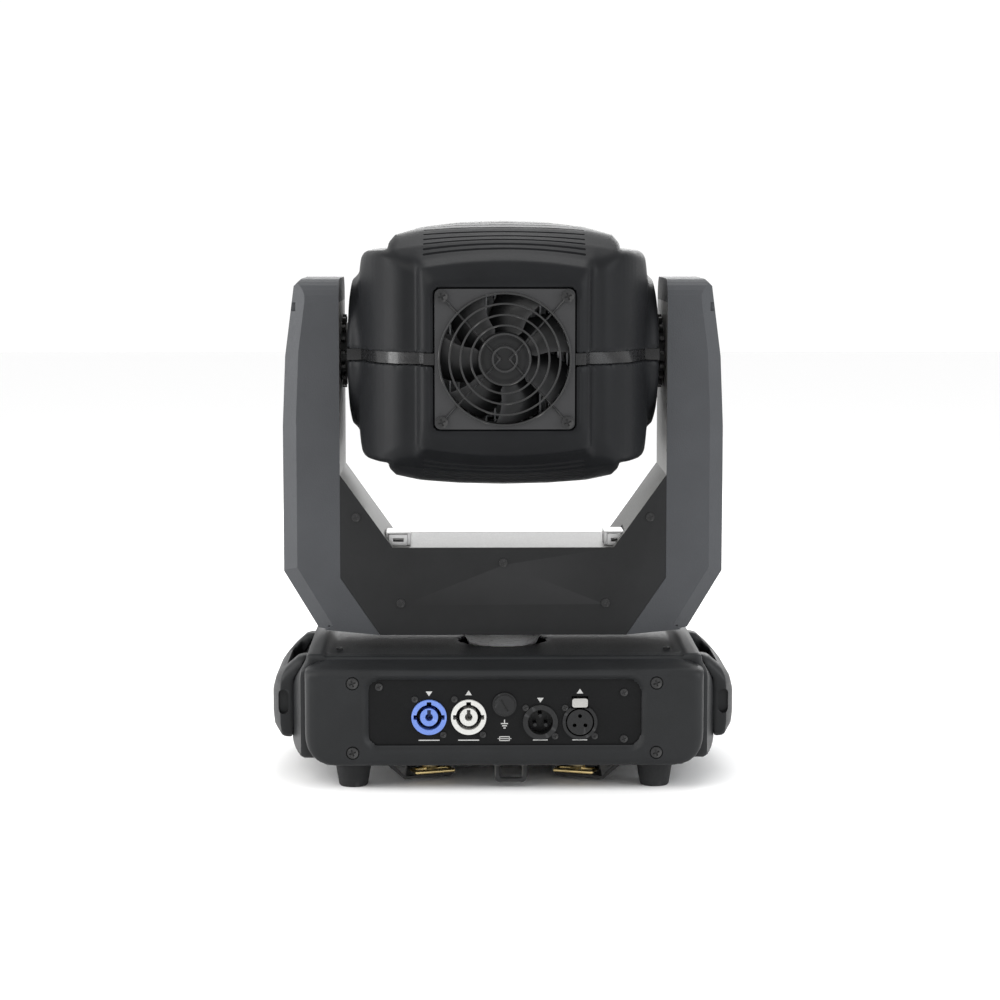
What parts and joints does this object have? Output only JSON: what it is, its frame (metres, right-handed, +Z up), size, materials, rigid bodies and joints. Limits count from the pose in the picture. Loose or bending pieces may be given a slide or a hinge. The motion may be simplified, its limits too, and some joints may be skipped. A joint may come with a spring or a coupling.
{
  "type": "moving head light",
  "caption": "Stage spotlight whose head tilts in a two-armed yoke that pans on a base with carry handles, a connector panel and quick-release hanging brackets.",
  "frame": {"origin": "on the floor under the middle of the part, on the pan axis", "axes": "+Z up; -Y towards the connector panel and the head's fan; +Y towards the lens and the display; X along the tilt axis"},
  "size_m": [0.324, 0.246, 0.381],
  "materials": {
    "charcoal_plastic": "fine satin moulding texture",
    "head_plastic": "smooth satin",
    "arm_plastic": "fine spark-eroded texture",
    "cover_plastic": "satin",
    "black_plastic": "satin",
    "gloss_black": "glossy",
    "display_glass": "clear, dark behind",
    "blue_plastic": "satin",
    "white_plastic": "satin",
    "button_plastic": "satin",
    "black_steel": "black powder coat",
    "panel_steel": "fine black powder coat",
    "chassis_steel": "dark powder coat",
    "grey_sheet": "light grey powder coat",
    "nickel": "brushed nickel",
    "polished_aluminium": "polished",
    "aluminium": "milled",
    "bearing_steel": "ground",
    "yellow_zinc": "yellow passivated zinc",
    "screw_black": "black oxide",
    "rubber": "matte",
    "belt_rubber": "matte, ribbed",
    "motor_black": "satin black with steel end caps",
    "circuit_board": "solder mask",
    "zinc_case": "galvanised sheet",
    "heatsink_alu": "extruded, bright",
    "copper_reflector": "bright spun",
    "wheel_alu": "anodised",
    "lens_glass": "clear, coated"
  },
  "bodies": {
    "base": {"base_chassis": "chassis_steel", "base_housing": "charcoal_plastic", "rear_bezel": "charcoal_plastic", "front_bezel": "charcoal_plastic", "connector_panel": "panel_steel", "display_window": "display_glass", "power_inlet": "blue_plastic", "power_outlet": "white_plastic", "fuse_holder": "black_plastic", "data_inlet": "black_plastic", "data_outlet": "black_plastic", "carry_handle_left": "charcoal_plastic", "carry_handle_right": "charcoal_plastic", "rubber_feet": "rubber", "safety_eye": "black_steel", "omega_brackets": "black_steel", "power_supply": "zinc_case", "main_board": "circuit_board", "base_screws": "screw_black", "pan_bearing": "bearing_steel", "pan_motor": "motor_black", "pan_belt": "belt_rubber"},
    "yoke": {"yoke_frame": "grey_sheet", "yoke_covers": "cover_plastic", "arm_shell_left": "arm_plastic", "arm_shell_right": "arm_plastic", "corner_blocks": "aluminium", "pan_hub": "polished_aluminium", "tilt_motor": "motor_black", "tilt_belt": "belt_rubber", "tilt_bearings": "bearing_steel", "yoke_screws": "screw_black"},
    "head": {"optic_frame": "gloss_black", "head_shell_upper": "head_plastic", "head_shell_lower": "head_plastic", "tilt_trunnions": "bearing_steel", "tilt_pulley": "aluminium", "fan_frame": "black_plastic", "fan_guard": "black_steel", "head_screws": "screw_black", "heatsink": "heatsink_alu", "led_engine": "copper_reflector", "lens_bezel": "black_plastic", "front_lens": "lens_glass"},
    "fuse_cap": {"fuse_cap": "black_plastic"},
    "data_latch": {"data_latch": "nickel"},
    "menu_button_1": {"menu_button_1": "button_plastic"},
    "menu_button_2": {"menu_button_2": "button_plastic"},
    "menu_button_3": {"menu_button_3": "button_plastic"},
    "menu_button_4": {"menu_button_4": "button_plastic"},
    "quarter_turn_left_rear": {"quarter_turn_left_rear": "yellow_zinc"},
    "quarter_turn_left_front": {"quarter_turn_left_front": "yellow_zinc"},
    "quarter_turn_right_rear": {"quarter_turn_right_rear": "yellow_zinc"},
    "quarter_turn_right_front": {"quarter_turn_right_front": "yellow_zinc"},
    "pan_motor_pulley": {"pan_motor_pulley": "aluminium"},
    "tilt_motor_pulley": {"tilt_motor_pulley": "aluminium"},
    "fan_rotor": {"fan_rotor": "black_plastic"},
    "colour_wheel": {"colour_wheel": "wheel_alu"},
    "gobo_wheel": {"gobo_wheel": "wheel_alu"},
    "focus_carriage": {"focus_carriage": "black_plastic"}
  },
  "joints": [
    {"name": "pan", "type": "hinge", "parent": "base", "child": "yoke", "pos_m": [0, 0, 0.0745], "axis": [0, 0, 1], "range_deg": [-270, 270]},
    {"name": "tilt", "type": "hinge", "parent": "yoke", "child": "head", "pos_m": [0, 0, 0.29], "axis": [1, 0, 0], "range_deg": [-45, 225]},
    {"name": "pan_motor_turn", "type": "hinge", "parent": "base", "child": "pan_motor_pulley", "pos_m": [0.072, 0, 0.0625], "axis": [0, 0, 1], "range_deg": [-1420, 1420]},
    {"name": "tilt_motor_turn", "type": "hinge", "parent": "yoke", "child": "tilt_motor_pulley", "pos_m": [-0.1295, 0, 0.13], "axis": [1, 0, 0], "range_deg": [-240, 1185]},
    {"name": "fan_spin", "type": "hinge", "parent": "head", "child": "fan_rotor", "pos_m": [0, -0.108, 0.29], "axis": [0, 1, 0], "continuous": true},
    {"name": "colour_wheel_turn", "type": "hinge", "parent": "head", "child": "colour_wheel", "pos_m": [-0.026, -0.0072, 0.29], "axis": [0, 1, 0], "continuous": true},
    {"name": "gobo_wheel_turn", "type": "hinge", "parent": "head", "child": "gobo_wheel", "pos_m": [0.026, 0.0088, 0.29], "axis": [0, 1, 0], "continuous": true},
    {"name": "focus_slide", "type": "slide", "parent": "head", "child": "focus_carriage", "axis": [0, 1, 0], "range_m": [-0.015, 0.015]},
    {"name": "fuse_cap_turn", "type": "hinge", "parent": "base", "child": "fuse_cap", "pos_m": [0, -0.106, 0.0585], "axis": [0, 1, 0], "range_deg": [0, 90]},
    {"name": "data_latch_push", "type": "slide", "parent": "base", "child": "data_latch", "axis": [0, 1, 0], "range_m": [0, 0.0015], "stiffness_N_per_m": 300},
    {"name": "menu_button_1_push", "type": "slide", "parent": "base", "child": "menu_button_1", "axis": [0, -1, 0], "range_m": [0, 0.0015], "stiffness_N_per_m": 300},
    {"name": "menu_button_2_push", "type": "slide", "parent": "base", "child": "menu_button_2", "axis": [0, -1, 0], "range_m": [0, 0.0015], "stiffness_N_per_m": 300},
    {"name": "menu_button_3_push", "type": "slide", "parent": "base", "child": "menu_button_3", "axis": [0, -1, 0], "range_m": [0, 0.0015], "stiffness_N_per_m": 300},
    {"name": "menu_button_4_push", "type": "slide", "parent": "base", "child": "menu_button_4", "axis": [0, -1, 0], "range_m": [0, 0.0015], "stiffness_N_per_m": 300},
    {"name": "quarter_turn_left_rear_turn", "type": "hinge", "parent": "base", "child": "quarter_turn_left_rear", "pos_m": [-0.0505, -0.078, 0.012], "axis": [0, 0, -1], "range_deg": [0, 90]},
    {"name": "quarter_turn_left_front_turn", "type": "hinge", "parent": "base", "child": "quarter_turn_left_front", "pos_m": [-0.0505, 0.078, 0.012], "axis": [0, 0, 1], "range_deg": [0, 90]},
    {"name": "quarter_turn_right_rear_turn", "type": "hinge", "parent": "base", "child": "quarter_turn_right_rear", "pos_m": [0.0505, -0.078, 0.012], "axis": [0, 0, 1], "range_deg": [0, 90]},
    {"name": "quarter_turn_right_front_turn", "type": "hinge", "parent": "base", "child": "quarter_turn_right_front", "pos_m": [0.0505, 0.078, 0.012], "axis": [0, 0, -1], "range_deg": [0, 90]}
  ],
  "couplings": [
    {"joint": "pan_motor_turn", "follows": "pan", "ratio": 5.25},
    {"joint": "tilt_motor_turn", "follows": "tilt", "ratio": 5.25}
  ]
}
